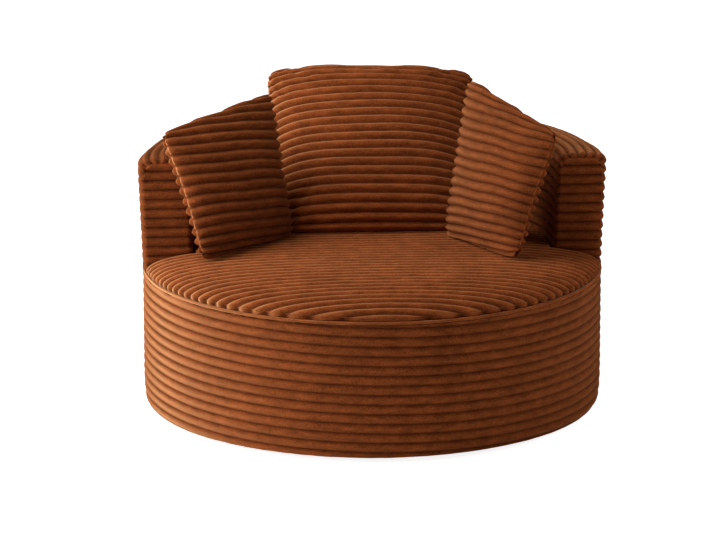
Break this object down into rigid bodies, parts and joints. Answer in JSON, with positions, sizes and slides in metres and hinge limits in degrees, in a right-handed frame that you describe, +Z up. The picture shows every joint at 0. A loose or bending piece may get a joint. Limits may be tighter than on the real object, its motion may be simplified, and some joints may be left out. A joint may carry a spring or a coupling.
{
  "type": "round armchair",
  "caption": "Round upholstered lounge chair: a ribbed drum seat on a hidden swivel, a half-round back with blunt arm ends, and loose ribbed pillows.",
  "frame": {"origin": "middle of the drum on the floor, on the swivel's axis", "axes": "+Z up, the front of the seat faces -Y, +X is to the right as seen from the front"},
  "size_m": [1.0976, 1.0908, 0.7193],
  "materials": {
    "rust_corduroy": "jumbo-wale plush corduroy, matt with a soft sheen",
    "zip_rust": "coil zip dyed to match the cover",
    "pine": "planed, unfinished",
    "plywood": "sanded birch plywood, unfinished",
    "hardboard": "thin bent board, unfinished",
    "foam": "open-cell upholstery foam",
    "fibre_wadding": "bonded polyester wadding",
    "felt": "needled spring felt",
    "black_dust_cloth": "black spun-bonded cloth",
    "spring_steel": "drawn spring wire and bearing steel",
    "zinc_plated_steel": "pressed and turned steel, zinc plated",
    "glide_plastic": "moulded black plastic"
  },
  "bodies": {
    "base": {"base_glide_1": "glide_plastic", "base_glide_2": "glide_plastic", "base_glide_3": "glide_plastic", "base_glide_4": "glide_plastic", "base_plate": "plywood", "swivel_lower_plate": "zinc_plated_steel", "swivel_ball_ring": "spring_steel"},
    "chair": {"swivel_upper_plate": "zinc_plated_steel", "frame_bottom_ring": "plywood", "frame_top_ring": "plywood", "frame_post_1": "pine", "frame_post_2": "pine", "frame_post_3": "pine", "frame_post_4": "pine", "frame_post_5": "pine", "frame_post_6": "pine", "frame_beam_x": "pine", "frame_beam_y": "pine", "seat_spring_1": "spring_steel", "seat_spring_2": "spring_steel", "seat_spring_3": "spring_steel", "seat_spring_4": "spring_steel", "spring_pad": "felt", "seat_foam_core": "foam", "seat_topper": "fibre_wadding", "seat_cover": "rust_corduroy", "drum_side_cover": "rust_corduroy", "drum_padding": "foam", "drum_board": "hardboard", "seam_piping": "rust_corduroy", "dust_cover": "black_dust_cloth", "back_lower_rail": "plywood", "back_upper_rail": "plywood", "back_inner_board": "hardboard", "back_outer_board": "hardboard", "back_post_1": "pine", "back_post_2": "pine", "back_post_3": "pine", "back_post_4": "pine", "arm_end_board_left": "plywood", "arm_end_board_right": "plywood", "back_foam": "foam", "back_cover": "rust_corduroy", "back_bolt_1": "zinc_plated_steel", "back_bolt_2": "zinc_plated_steel", "back_bolt_3": "zinc_plated_steel", "back_bolt_nut_1": "zinc_plated_steel", "back_bolt_nut_2": "zinc_plated_steel", "back_bolt_nut_3": "zinc_plated_steel"},
    "pillow_center": {"pillow_center_cover": "rust_corduroy", "pillow_center_insert": "fibre_wadding", "pillow_center_zip": "zip_rust"},
    "pillow_left": {"pillow_left_cover": "rust_corduroy", "pillow_left_insert": "fibre_wadding", "pillow_left_zip": "zip_rust"},
    "pillow_right": {"pillow_right_cover": "rust_corduroy", "pillow_right_insert": "fibre_wadding", "pillow_right_zip": "zip_rust"}
  },
  "joints": [
    {"name": "swivel", "type": "hinge", "parent": "base", "child": "chair", "pos_m": [0, 0, 0.0303], "axis": [0, 0, 1], "continuous": true},
    {"name": "lift_pillow_center", "type": "slide", "parent": "chair", "child": "pillow_center", "axis": [0, 0, 1], "range_m": [0, 0.4]},
    {"name": "lift_pillow_left", "type": "slide", "parent": "pillow_center", "child": "pillow_left", "axis": [0, 0, 1], "range_m": [0, 0.4]},
    {"name": "lift_pillow_right", "type": "slide", "parent": "pillow_center", "child": "pillow_right", "axis": [0, 0, 1], "range_m": [0, 0.4]}
  ]
}
